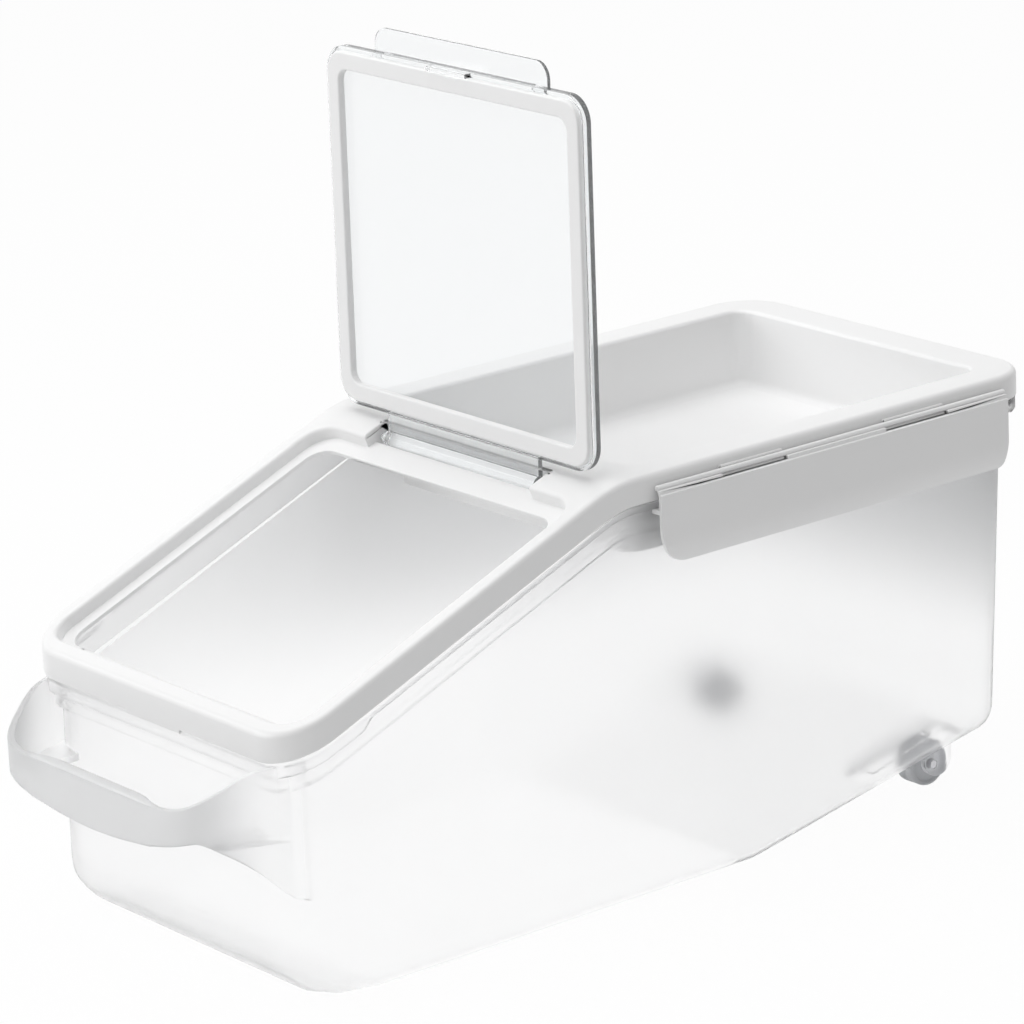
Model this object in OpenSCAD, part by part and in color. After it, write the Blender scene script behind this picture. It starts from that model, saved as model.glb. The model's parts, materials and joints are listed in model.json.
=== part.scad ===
// Rice bin with a flip lid, a tray top, two side latches and two rear rollers.
// Drawn with the lid open. X is the width, Y runs to the back, Z is up, and the floor is at Z = 0.

/* [Frame] */
// Width of the top frame
frame_w = 200; // [190:1:240]
// Length of the top frame
frame_l = 433; // [425:1:480]
// Height of the front top edge
front_h = 127; // [122:0.5:135]
// Height of the level rear part
rear_h = 199.5; // [194:0.5:206]
// Distance from the front to the bend between slope and level
bend_y = 180; // [176:1:188]
// Radius of the bend
bend_r = 60; // [30:1:60]
// Corner radius of the frame in plan
frame_r = 24; // [18:1:26]
// Depth of the skirt below the top surface
skirt_h = 12.5; // [11:0.5:14]
// Wall thickness of the frame
frame_t = 2; // [1.6:0.1:2.4]

/* [Lid opening] */
// Width of the rim beside the lid recess
rim_w = 8.5; // [8.5:0.5:14]
// Width of the rim in front of the lid recess
rim_front = 8.5; // [7:0.5:12]
// Depth of the lid recess
recess_d = 6.3; // [6:0.1:7.5]
// Corner radius of the lid recess
recess_r = 13; // [12:1:15]
// Width of the ledge that the lid gasket rests on
ledge_w = 6.5; // [5:0.5:7]
// Width of the ledge at the front of the opening
ledge_front = 4.3; // [4:0.1:7]
// Strip between the recess's rear wall and the opening
ledge_rear = 8.7; // [7:0.1:10]
// Distance from the lid recess to the bend, along the slope
recess_back = 16.8; // [16.5:0.1:22]

/* [Lid] */
// Angle that the lid swings from closed to open
lid_swing = 112.8; // [95:0.1:115.8]
// Gap between the lid and its recess
lid_gap = 0.7; // [0.6:0.1:1.5]
// Thickness of the clear lid
lid_t = 2; // [1.6:0.1:2.4]
// Depth of the lid's edge
lid_depth = 4.4; // [4:0.1:4.6]
// Distance from the recess's side to the end of the hinge tongue
tongue_in = 37.5; // [30.5:0.5:46]
// Radius of the hinge barrel
barrel_r = 3.5; // [3:0.1:3.8]
// Radius of the stub pins at the barrel's ends
stub_r = 1.6; // [1.2:0.1:2]
// Length of the stub pins
stub_l = 4; // [3:0.5:5]
// Distance from the recess's side to the end of the finger flap
flap_in = 30.5; // [25:0.5:50]
// Reach of the finger flap in front of the lid
flap_l = 10.5; // [8:0.5:14]
// Half width of the lid's catch
catch_x = 14; // [10:1:20]

/* [Tray] */
// Rim left beside the tray hollow
tray_side = 18; // [17:1:30]
// Distance from the bend to the tray hollow
tray_front = 21; // [18:1:35]
// Rim left behind the tray hollow
tray_rear = 21; // [18:1:30]
// Depth of the tray hollow
tray_d = 38; // [25:1:45]
// Corner radius of the tray hollow
tray_r = 9; // [6:1:14]

/* [Bin body] */
// Wall thickness of the body
body_t = 2.2; // [1.8:0.1:2.6]
// Gap from the frame's outside to the body wall, at the rim
body_in = 4.6; // [4.4:0.1:5.2]
// Gap from the frame's outside to the body's rim band
band_in = 3.8; // [3.6:0.1:4]
// Depth of the rim band below the top surface
band_h = 27; // [22:0.5:30]
// Front face of the body near the floor
front_y = 1.5; // [1:0.5:4]
// Lean of the front wall, in degrees
front_draft = 2.3; // [1:0.1:2.6]
// Lean of the side walls, in degrees
side_draft = 1.4; // [0.5:0.1:2.5]
// Lean of the rear wall, in degrees
rear_draft = 3.7; // [2:0.1:4.5]
// Radius along the bottom of the front
front_foot_r = 32; // [26:1:36]
// Corner radius along the bottom of the sides
side_foot_r = 9; // [7:1:13]
// Corner radius at the bottom of the rear
rear_foot_r = 14; // [10:1:18]
// Distance from the start of the rear ramp to the rear
ramp_l = 171; // [153:1:193]
// Slope of the rear ramp, in degrees
ramp_a = 9.8; // [8:0.1:11]
// Height of the foot pad under the body
foot_h = 0.5; // [0.4:0.1:2]
// Height of the flange under the skirt
flange_h = 3; // [2:0.1:3.5]

/* [Handle] */
// Reach of the front handle
handle_reach = 36; // [28:1:40]
// Distance from the frame's side to the root of the handle
handle_in = 12; // [10:0.5:16]
// Thickness of the handle
handle_t = 3.2; // [2.6:0.1:4]
// Bottom of the grip bar
grip_z0 = 73; // [68:1:80]
// Top of the grip bar
grip_z1 = 96; // [90:1:98]
// Depth of the shelf along the top of the grip
grip_shelf = 7; // [5:0.5:9]

/* [Latches] */
// Distance from the bend to the latches
latch_front = 21; // [18:1:40]
// Distance from the latches to the rear
latch_rear = 24; // [22:1:44]
// Height of the latches
latch_h = 37.5; // [30:0.5:45]
// Thickness of the latches
latch_t = 2; // [1.6:0.1:2.4]
// Radius of the bar that each latch turns on
bar_r = 1.25; // [1.1:0.05:1.4]
// Running clearance round the latch bar
bar_gap = 0.06; // [0.03:0.01:0.1]
// Length of each hook slot
slot_l = 38; // [30:1:44]
// Distance between the two hook slots
slot_pitch = 97; // [80:1:110]

/* [Rollers] */
// Radius of the rollers
wheel_r = 11; // [9:0.5:12]
// Width of the rollers
wheel_w = 12; // [8:0.5:12]
// Distance of the rollers from the frame's side
wheel_in = 27; // [25:1:34]
// Distance of the rollers from the rear
wheel_rear = 54; // [49:1:63]
// Gap between the rollers and the floor at rest
wheel_lift = 4; // [2:0.5:5]
// Radius of the axles
axle_r = 2; // [1.5:0.1:2.5]
// Running clearance round the axles
axle_gap = 0.05; // [0.02:0.01:0.1]
// Thickness of the fork plates
fork_t = 2.4; // [2:0.1:3]

/* [Hidden] */
$fn = 48;

// Clearance between pieces that rest on each other
seat = 0.2;
// Overlap that makes a cut or a join clean
eps = 0.01;
// Larger than the whole object
far = 700;
// Finish of hulls
hull_fn = 32;

// Colours
white = [0.95, 0.95, 0.95];
milky = [0.86, 0.88, 0.9];
clear = [0.8, 0.86, 0.9];
silicone = [0.9, 0.91, 0.9];
grey = [0.6, 0.6, 0.62];
steel = [0.45, 0.46, 0.48];

// The origin is under the middle of the whole object
mid_y = (frame_l - handle_reach) / 2;

// Slope of the front part
slope_a = atan2(rear_h - front_h, bend_y);
bend_steps = 10;

// Latches, which are the widest part
hinge_gap = 2;
latch_y0 = bend_y + latch_front;
latch_l = frame_l - latch_rear - latch_y0;
bar_x = frame_w / 2 + hinge_gap;
bar_z = rear_h - 6.5;
latch_x = bar_x + 1.4;
latch_z0 = bar_z + bar_r - latch_h;
lip_in = 4.6;
lip_h = 15;
lip_steps = 6;
latch_front_r = 18;
latch_rear_r = 3;
ridge = 1.1;
hook_room = 0.9;
hook_t = 1.2;
slot_gap = 1;
hook_l = slot_l - 2 * slot_gap;
hook_y = [latch_y0 + latch_l / 2 - slot_pitch / 2, latch_y0 + latch_l / 2 + slot_pitch / 2];

// Flange of the body, under the skirt
flange_top = skirt_h + 0.5;
flange_out = 0.6;
flange_w = frame_w / 2 - flange_out;
tab_x = 20;
tab_h = 1.5;
tab_z = front_h - skirt_h / cos(slope_a) - tab_h;
collar_l = 41;
collar_rear = 20;
collar_h = 6;
catch_rib_h = 2;
catch_rib_z = rear_h - flange_top - flange_h - 0.3;
catch_rib_x = flange_w - 0.8;

// Rim of the body, with the gasket on it
gasket_h = 2.2;
gasket_x1 = 5.9;
rim_top = frame_t + gasket_h + 2 * seat;
rib_in = 7;
rib_d = 8.3;
rib_y0 = bend_y - 5;

// Lid recess, measured along the slope from the front top edge
recess_x = frame_w / 2 - rim_w;
recess_s0 = rim_front;
recess_s1 = bend_y / cos(slope_a) - recess_back;
open_x = recess_x - ledge_w;
open_s0 = recess_s0 + ledge_front;
open_s1 = recess_s1 - ledge_rear;
open_r = recess_r - 3;

// Hinge of the lid, in the slope's own frame
tongue_x = recess_x - tongue_in;
hinge_back = 8.8;
hinge_s = recess_s1 + hinge_back;
hinge_w = -recess_d + 0.45;
channel_x = tongue_x + 5;
channel_gap = 0.6;
tongue_n = [-0.2, 2.2];
stub_gap = 0.08;

// Clear lid, measured from the hinge: t runs up the slope and n out of it
lid_x = recess_x - lid_gap;
lid_t0 = recess_s0 + lid_gap - hinge_s;
lid_swing_gap = 1.9;
lid_t1 = recess_s1 - lid_swing_gap - hinge_s;
lid_r = recess_r - lid_gap;
lid_n1 = -hinge_w;
tongue_lean = (lid_n1 - tongue_n[1] * cos(lid_swing)) / tan(180 - lid_swing);
channel_back = max(barrel_r + channel_gap, tongue_lean + tongue_n[1] * sin(lid_swing) + seat);
lid_n0 = lid_n1 - lid_depth;
lid_wall = 1.6;
flap_x = recess_x - flap_in;
flap_lift = 0.4;
flap_r = 8;
catch_t = 2;
catch_d = 3.5;
gasket_in = 2.4;
gasket_w = 8;
lid_gasket_n0 = -recess_d + seat - hinge_w;

// Tray
tray_x = frame_w / 2 - tray_side;
tray_y0 = bend_y + tray_front;

// Body
body_over = 15.5;
body_top_z = rear_h + body_over;
body_x_top = frame_w / 2 - body_in;
body_rear_top = frame_l - body_in - 2;
body_r = 22;
rear_foot_z = 40;
ramp_y = frame_l - ramp_l;
x_foot = body_x_top - (rear_h - side_foot_r) * tan(side_draft);
y_foot_rear = body_rear_top - (rear_h - rear_foot_z) * tan(rear_draft);
ramp_rise = (y_foot_rear - rear_foot_r - ramp_y) * tan(ramp_a);
rear_z = foot_h + ramp_rise + rear_foot_r / cos(ramp_a);
foot_in = 7;
foot_pad_r = 10;
foot_y0 = 50;
front_lift = 1;
front_balls = [for (i = [0:3]) [30 * i, front_foot_r * (0.75 - 0.125 * i)]];
front_top_y = front_y + (body_top_z - front_foot_r) * tan(front_draft);

// Handle
handle_steps = 12;
handle_root = 8;
handle_x = frame_w / 2 - handle_in;
handle_web = 23;
handle_web_up = 5;
handle_web_x = handle_x - handle_web;
handle_sink = 14;
grip_h = grip_z1 - grip_z0;
grip_rise = 11;
grip_end = 0.86 * handle_x;
grip_back = -0.8 * handle_reach;

// Rollers
wheel_x = frame_w / 2 - wheel_in;
wheel_y = frame_l - wheel_rear;
wheel_z = wheel_lift + wheel_r;
fork_top = 4;
fork_gap = 0.5;
fork_r = 8.5;
fork_shift = 2.5;
fork_x = wheel_w / 2 + fork_gap;
well_wall = 2;
well_front = 38;
well_back = 18;
well_under = 8;
tyre_r = 1.5;

// A rectangle with rounded corners from (-x, y0) to (x, y1)
module round_rect(x, y0, y1, r) {
    translate([-x, y0 + r]) square([2 * x, y1 - y0 - 2 * r]);
    translate([-x + r, y0]) square([2 * (x - r), y1 - y0]);
    for (sx = [-1, 1], cy = [y0 + r, y1 - r]) translate([sx * (x - r), cy]) circle(r);
}

// Outline of the frame in plan, drawn in by a distance
module plan(inset) {
    round_rect(frame_w / 2 - inset, inset, frame_l - inset, frame_r - inset);
}

// A point of the bend at an angle from vertical, moved down by a distance
function bend_point(angle, down) = [
    bend_y + bend_r * tan(slope_a / 2) - (bend_r - down) * sin(angle),
    rear_h - bend_r + (bend_r - down) * cos(angle)
];

// Everything below the top surface, seen from the side and moved down by a distance
module below(down) {
    start = bend_point(slope_a, down);
    polygon(concat(
        [[far, rear_h - down], [far, -far], [-far, -far], [-far, start[1] - (start[0] + far) * tan(slope_a)]],
        [for (i = [0:bend_steps]) bend_point(slope_a * (1 - i / bend_steps), down)]
    ));
}

// A layer between two depths below the top surface, across the whole width
module layer(top, bottom) {
    along_x(-far / 2, far / 2) difference() {
        below(top);
        below(bottom);
    }
}

// A ring that follows the frame's outline and top surface
module ring(inset0, inset1, top, bottom) {
    intersection() {
        layer(top, bottom);
        linear_extrude(far) difference() {
            plan(inset0);
            plan(inset1);
        }
    }
}

// Puts children in the slope's own frame: X, distance along the slope, distance out of it
module on_slope() {
    translate([0, 0, front_h]) rotate([slope_a, 0, 0]) children();
}

// Puts children drawn about the lid hinge in place with the lid open
module lid_open() {
    on_slope() translate([0, hinge_s, hinge_w]) rotate([-lid_swing, 0, 0]) children();
}

// A rod along X
module rod_x(r, x0, x1) {
    translate([x0, 0, 0]) rotate([0, 90, 0]) cylinder(r = r, h = x1 - x0);
}

// A side profile in Y and Z, extruded along X between two values
module along_x(x0, x1) {
    translate([x0, 0, 0]) rotate([90, 0, 90]) linear_extrude(x1 - x0) children();
}

// Lid recess and opening, cut from the frame
module lid_cut() {
    on_slope() {
        translate([0, 0, -recess_d]) linear_extrude(far)
            round_rect(recess_x, recess_s0, recess_s1, recess_r);
        translate([0, 0, -far / 2]) linear_extrude(far)
            round_rect(open_x, open_s0, open_s1, open_r);
        translate([-catch_x - lid_gap, recess_s0 + 0.5, -far / 2])
            cube([2 * (catch_x + lid_gap), ledge_w, far]);
        translate([-channel_x, recess_s1 - recess_r, -recess_d])
            cube([2 * channel_x, hinge_s - recess_s1 + recess_r, far]);
        translate([0, hinge_s, hinge_w]) rod_x(barrel_r + channel_gap, -channel_x, channel_x);
        translate([-channel_x, hinge_s, hinge_w])
            cube([2 * channel_x, channel_back, far]);
        translate([0, hinge_s, hinge_w])
            rod_x(stub_r + stub_gap, -tongue_x - stub_l - 1, tongue_x + stub_l + 1);
    }
}

// Walls under the lid recess, with the blocks that hold the hinge
module recess_walls() {
    under = recess_d + frame_t;
    wall = frame_t - 0.7;
    on_slope() translate([0, 0, -under]) linear_extrude(under)
        round_rect(recess_x + wall, recess_s0 - wall, recess_s1 + wall, recess_r + wall);
    on_slope() translate([-channel_x - stub_l - 2, recess_s1 - eps, hinge_w - barrel_r - frame_t - 1])
        cube([2 * (channel_x + stub_l + 2), hinge_s - recess_s1 + barrel_r + 3, barrel_r * 2 + 3]);
}

// One hook that holds a latch bar, on the right side
module latch_hook(y) {
    hook_r = bar_r + bar_gap + hook_t;
    translate([bar_x, y + hook_l / 2, bar_z]) rotate([90, 0, 0]) linear_extrude(hook_l) difference() {
        union() {
            circle(hook_r);
            translate([-hinge_gap - frame_t / 2, -hook_r]) square([hinge_gap + frame_t / 2, hook_r]);
        }
        circle(bar_r + bar_gap);
        polygon([[0, 0], [far, -far * tan(65)], [far, far], [-far * tan(15), far]]);
    }
}

module top_frame_solid() {
    difference() {
        union() {
            intersection() {
                layer(0, frame_t);
                linear_extrude(far) plan(0);
            }
            ring(0, frame_t, 0, skirt_h);
            intersection() {
                ring(rib_in, rib_in + frame_t - 0.3, frame_t / 2, rib_d);
                translate([-far / 2, rib_y0, 0]) cube(far);
            }
            intersection() {
                recess_walls();
                along_x(-far / 2, far / 2) below(0);
            }
            intersection() {
                linear_extrude(rear_h) round_rect(tray_x + frame_t, tray_y0 - frame_t,
                    frame_l - tray_rear + frame_t, tray_r + frame_t);
                translate([-far / 2, 0, rear_h - tray_d - frame_t]) cube([far, far, tray_d + frame_t]);
            }
            translate([-tab_x, 0, tab_z]) cube([2 * tab_x, frame_t, tab_h + 2]);
            for (side = [0, 1], y = hook_y) mirror([side, 0, 0]) latch_hook(y);
        }
        lid_cut();
        translate([0, 0, rear_h - tray_d]) linear_extrude(far)
            round_rect(tray_x, tray_y0, frame_l - tray_rear, tray_r);
    }
}

module top_frame() {
    color(white) translate([0, -mid_y, 0]) top_frame_solid();
}

// Gasket between the frame and the body's rim
module frame_gasket() {
    color(silicone) translate([0, -mid_y, 0])
        ring(frame_t + 0.6, gasket_x1, frame_t + seat, frame_t + seat + gasket_h);
}

module flip_lid_solid() {
    difference() {
        translate([0, 0, lid_n0]) linear_extrude(lid_depth) round_rect(lid_x, lid_t0, lid_t1, lid_r);
        translate([0, 0, lid_n0 - eps]) linear_extrude(lid_depth - lid_t + eps)
            round_rect(lid_x - lid_wall, lid_t0 + lid_wall, lid_t1 - lid_wall, lid_r - lid_wall);
    }
    rod_x(barrel_r, -tongue_x, tongue_x);
    rod_x(stub_r, -tongue_x - stub_l, tongue_x + stub_l);
    translate([-tongue_x, lid_t1 - lid_wall, tongue_n[0]])
        cube([2 * tongue_x, -lid_t1 + lid_wall, tongue_n[1] - tongue_n[0]]);
    translate([-tongue_x, lid_t1 - lid_wall, tongue_n[0]])
        cube([2 * tongue_x, lid_wall, lid_n1 - tongue_n[0]]);
    translate([0, 0, lid_n1 + flap_lift]) linear_extrude(lid_t)
        round_rect(flap_x, lid_t0 - flap_l, lid_t0 + flap_r, flap_r);
    translate([-flap_x + flap_r, lid_t0, lid_n1 - eps])
        cube([2 * (flap_x - flap_r), flap_r, flap_lift + 2 * eps]);
    translate([-catch_x, lid_t0, lid_n0 - catch_d]) cube([2 * catch_x, catch_t, catch_d + lid_depth]);
}

module flip_lid() {
    color(clear) translate([0, -mid_y, 0]) lid_open() flip_lid_solid();
}

// Soft ring under the lid's edge
module lid_gasket() {
    inset = lid_wall + seat;
    top = lid_n1 - lid_t - seat;
    color(silicone) translate([0, -mid_y, 0]) lid_open()
        translate([0, 0, lid_gasket_n0]) linear_extrude(top - lid_gasket_n0) difference() {
            round_rect(lid_x - gasket_in, lid_t0 + gasket_in, lid_t1 - gasket_in, lid_r - gasket_in);
            round_rect(lid_x - gasket_in - gasket_w, lid_t0 + gasket_in + gasket_w,
                lid_t1 - gasket_in - gasket_w, lid_r - gasket_in - 4);
        }
}

// One ball on the rounded front foot, at an angle round it, inside the outer form
module front_ball(sx, angle, r, inset) {
    reach = front_foot_r - r;
    base_z = foot_h + front_lift + front_foot_r;
    translate([sx * (x_foot - r), front_y + front_foot_r - reach * cos(angle), base_z - reach * sin(angle)])
        sphere(r - inset, $fn = hull_fn);
}

// Outer form of the body, or its hollow when drawn in by the wall
module body_form(inset) {
    hull() {
        for (sx = [-1, 1]) {
            for (ball = front_balls) front_ball(sx, ball[0], ball[1], inset);
            translate([sx * (x_foot - 0.5 - side_foot_r), foot_y0, foot_h + side_foot_r])
                sphere(side_foot_r - inset, $fn = hull_fn);
            translate([sx * (x_foot - side_foot_r), ramp_y, foot_h + side_foot_r])
                sphere(side_foot_r - inset, $fn = hull_fn);
            translate([sx * (x_foot + 1 - rear_foot_r), y_foot_rear - rear_foot_r, rear_z])
                sphere(rear_foot_r - inset, $fn = hull_fn);
            for (y = [front_top_y + body_r, body_rear_top + 1 - body_r])
                translate([sx * (body_x_top - body_r), y, body_top_z])
                    cylinder(r = body_r - inset, h = 1, $fn = hull_fn);
        }
    }
}

// Side profile of a wheel well, grown by its wall
module well_profile(grow) {
    ramp_at = function (y) foot_h + (y - ramp_y) * tan(ramp_a);
    y0 = wheel_y - well_front - grow;
    y1 = wheel_y + well_back + grow;
    polygon([
        [y0, ramp_at(y0) - well_under], [y0, ramp_at(y0) + 6 + grow], [wheel_y + 6, wheel_z + wheel_r + 6 + grow],
        [y1, wheel_z + wheel_r - 1 + grow], [y1, ramp_at(y1) - well_under]
    ]);
}

module wheel_well(grow) {
    for (sx = [-1, 1])
        along_x(sx * wheel_x - fork_x - fork_t - grow, sx * wheel_x + fork_x + fork_t + grow)
            well_profile(grow);
}

// Plates that carry an axle, on both sides of each roller
module forks() {
    for (sx = [-1, 1], side = [-1, 1]) {
        x0 = sx * wheel_x + side * (fork_x + fork_t / 2) - fork_t / 2;
        along_x(x0, x0 + fork_t) difference() {
            translate([wheel_y + fork_shift, wheel_z + fork_shift]) union() {
                circle(fork_r);
                translate([-fork_r, 0]) square([2 * fork_r, wheel_r + 4]);
            }
            translate([wheel_y, wheel_z]) circle(axle_r + axle_gap);
        }
    }
}

// Half of the handle's outline in plan, drawn in by a distance
function handle_edge(inset) = let (
    x = handle_x - inset,
    y = handle_reach - inset,
    p = [[x * 0.5, -y], [x * 0.8, -y], [x * 0.835, -y * 0.86], [x, handle_root]]
) [for (i = [0:handle_steps]) let (t = i / handle_steps, u = 1 - t)
    u * u * u * p[0] + 3 * u * u * t * p[1] + 3 * u * t * t * p[2] + t * t * t * p[3]];

// The handle's outline in plan, closed behind the front wall
module handle_plan(inset, back) {
    edge = handle_edge(inset);
    left = [for (i = [0:handle_steps]) [-edge[handle_steps - i][0], edge[handle_steps - i][1]]];
    polygon(concat([[-handle_x + inset, back]], left, edge, [[handle_x - inset, back]]));
}

// What is cut from under the grip, so that its lower edge rises towards its ends
module grip_arch() {
    polygon(concat(
        [[grip_end, grip_z0 - grip_rise], [-grip_end, grip_z0 - grip_rise]],
        [for (i = [-handle_steps:handle_steps]) let (t = i / handle_steps)
            [grip_end * t, grip_z0 + grip_rise * t * t]]
    ));
}

// The pull handle: a bent band that springs from the front corners, with a web at each side
module handle() {
    inner = front_y + body_t + handle_sink;
    difference() {
        intersection() {
            linear_extrude(far) difference() {
                handle_plan(0, inner);
                handle_plan(handle_t, far / 2);
            }
            along_x(-far / 2, far / 2) polygon([
                [inner, grip_z1 + 0.72 * grip_h], [0, grip_z1 + 0.72 * grip_h],
                [-0.14 * handle_reach, grip_z1 + 0.7 * grip_h],
                [-0.33 * handle_reach, grip_z1 + 0.56 * grip_h],
                [-0.5 * handle_reach, grip_z1 + 0.39 * grip_h],
                [-0.75 * handle_reach, grip_z1 + 0.19 * grip_h],
                [-0.94 * handle_reach, grip_z1 + 0.04 * grip_h], [-handle_reach, grip_z1],
                [-handle_reach, grip_z0],
                [grip_back, grip_z0], [grip_back, grip_z0 + 0.42 * grip_h],
                [-0.39 * handle_reach, grip_z0], [-0.09 * handle_reach, grip_z0 - 0.36 * grip_h],
                [0.17 * handle_reach, grip_z0 - 0.87 * grip_h], [inner, grip_z0 - 1.04 * grip_h]
            ]);
        }
        translate([0, grip_back + eps, 0]) rotate([90, 0, 0]) linear_extrude(handle_reach) grip_arch();
    }
    intersection() {
        translate([0, 0, grip_z1 - handle_t]) linear_extrude(handle_t) difference() {
            handle_plan(1, 0);
            handle_plan(grip_shelf, far / 2);
        }
        translate([-far / 2, -handle_reach, 0]) cube([far, handle_reach + grip_back, far]);
    }
    for (sx = [0, 1]) mirror([sx, 0, 0]) intersection() {
        translate([0, 0, grip_z0 + handle_web_up]) linear_extrude(handle_t)
            handle_plan(0, handle_root + 2);
        translate([handle_web_x, -handle_reach / 2, 0]) cube([far, far, far]);
    }
}

module bin_body_solid() {
    difference() {
        union() {
            intersection() {
                body_form(0);
                along_x(-far / 2, far / 2) below(band_h - body_t);
            }
            ring(band_in, band_in + body_t, rim_top, band_h);
            ring(band_in, 2 * band_in + body_t + 2, band_h - body_t, band_h);
            ring(flange_out, band_in + 1, flange_top, flange_top + flange_h);
            intersection() {
                ring(flange_out, flange_out + frame_t, flange_top, flange_top + collar_h);
                for (y = [0, frame_l - collar_rear]) translate([-far / 2, y, 0]) cube([far, collar_l, far]);
            }
            handle();
            linear_extrude(foot_h + 1) round_rect(x_foot - foot_in, foot_y0, ramp_y - 2, foot_pad_r);
        }
        difference() {
            intersection() {
                body_form(body_t);
                along_x(-far / 2, far / 2) below(rim_top - 1);
            }
            wheel_well(well_wall);
        }
        difference() {
            wheel_well(0);
            forks();
        }
        translate([-tab_x - 2, -1, tab_z - 1]) cube([2 * tab_x + 4, flange_out + frame_t + 1, 4]);
    }
    difference() {
        forks();
        along_x(-far / 2, far / 2) translate([wheel_y - far / 2, rear_z + fork_top]) square(far);
    }
}

module bin_body() {
    color(milky) translate([0, -mid_y, 0]) bin_body_solid();
}

// Cross section of the right latch, in X and Z
module latch_section() {
    translate([bar_x, bar_z]) circle(bar_r);
    polygon(concat(
        [for (i = [0:lip_steps]) latch_lip(i / lip_steps, 0)],
        [for (i = [lip_steps:-1:0]) latch_lip(i / lip_steps, latch_t)],
        [[latch_x + latch_t, bar_z - 2.4 * ridge], [latch_x + latch_t - ridge, bar_z - 2.4 * ridge],
        [latch_x + latch_t - ridge, bar_z - 0.7 * ridge], [bar_x, bar_z - 0.7 * ridge],
        [bar_x, bar_z - bar_r], [latch_x, bar_z - bar_r - 2 * ridge]]
    ));
    translate([catch_rib_x, catch_rib_z - catch_rib_h])
        square([latch_x - catch_rib_x + eps, catch_rib_h]);
}

// A point of the latch's lower part, which curves in, at a share of its height and a depth
function latch_lip(t, depth) = [latch_x + depth - lip_in * t * t, latch_z0 + lip_h * (1 - t)];

// Front view outline of a latch, in Y and Z
module latch_outline() {
    translate([latch_y0 + latch_front_r, latch_z0])
        square([latch_l - latch_front_r - latch_rear_r, latch_h]);
    translate([latch_y0, latch_z0 + latch_front_r]) square([latch_l, latch_h - latch_front_r]);
    translate([latch_y0 + latch_l - latch_rear_r - eps, latch_z0 + latch_rear_r])
        square([latch_rear_r + eps, latch_h - latch_rear_r]);
    translate([latch_y0 + latch_front_r, latch_z0 + latch_front_r]) circle(latch_front_r);
    translate([latch_y0 + latch_l - latch_rear_r, latch_z0 + latch_rear_r]) circle(latch_rear_r);
}

module latch_solid() {
    intersection() {
        difference() {
            translate([0, latch_y0 + latch_l, 0]) rotate([90, 0, 0]) linear_extrude(latch_l)
                latch_section();
            for (y = hook_y) difference() {
                translate([0, y + slot_l / 2, 0]) rotate([90, 0, 0]) linear_extrude(slot_l)
                    translate([bar_x, bar_z]) circle(bar_r + bar_gap + hook_t + hook_room);
                translate([bar_x, y + slot_l, bar_z]) rotate([90, 0, 0])
                    cylinder(r = bar_r, h = 2 * slot_l);
            }
        }
        along_x(0, far / 2) latch_outline();
    }
}

module latch_right() {
    color(white) translate([0, -mid_y, 0]) latch_solid();
}

module latch_left() {
    color(white) translate([0, -mid_y, 0]) mirror([1, 0, 0]) latch_solid();
}

// A roller with a rounded tread and a running bore
module wheel(side) {
    translate([side * wheel_x - wheel_w / 2, wheel_y - mid_y, wheel_z]) rotate([0, 90, 0]) difference() {
        rotate_extrude() {
            square([wheel_r - tyre_r, wheel_w]);
            translate([0, tyre_r]) square([wheel_r, wheel_w - 2 * tyre_r]);
            for (z = [tyre_r, wheel_w - tyre_r]) translate([wheel_r - tyre_r, z]) circle(tyre_r);
        }
        translate([0, 0, -1]) cylinder(r = axle_r + axle_gap, h = wheel_w + 2);
    }
}

module wheel_left() {
    color(grey) wheel(-1);
}

module wheel_right() {
    color(grey) wheel(1);
}

// An axle, flush with the outsides of its fork
module axle(side) {
    half = fork_x + fork_t;
    color(steel) translate([side * wheel_x, wheel_y - mid_y, wheel_z]) rod_x(axle_r, -half, half);
}

module axle_left() {
    axle(-1);
}

module axle_right() {
    axle(1);
}

bin_body();
top_frame();
frame_gasket();
flip_lid();
lid_gasket();
latch_left();
latch_right();
wheel_left();
wheel_right();
axle_left();
axle_right();
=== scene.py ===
"""Looks of a rice bin with a flip lid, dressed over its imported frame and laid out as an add-on."""

import json
import math

import bmesh
import bpy
import numpy as np
from bpy.props import FloatProperty, FloatVectorProperty, PointerProperty
from mathutils import Matrix, Vector
from mathutils.bvhtree import BVHTree
from mathutils.geometry import delaunay_2d_cdt


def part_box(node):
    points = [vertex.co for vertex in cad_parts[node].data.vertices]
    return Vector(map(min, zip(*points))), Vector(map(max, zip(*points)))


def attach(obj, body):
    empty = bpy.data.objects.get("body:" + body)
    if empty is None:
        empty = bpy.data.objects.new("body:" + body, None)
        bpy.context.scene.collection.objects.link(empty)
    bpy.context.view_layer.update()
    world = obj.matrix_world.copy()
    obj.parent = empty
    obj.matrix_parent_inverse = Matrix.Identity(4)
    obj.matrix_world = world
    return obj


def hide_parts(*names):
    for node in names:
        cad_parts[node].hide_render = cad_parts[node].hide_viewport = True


bl_info = {
    "name": "Rice Bin With Flip Lid",
    "version": (1, 0, 0),
    "blender": (4, 5, 0),
    "location": "3D View > Sidebar > Rice Bin",
    "description": "Builds the moulded surfaces, finishes and studio of a rice bin with a flip lid",
    "category": "Object",
}

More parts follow.
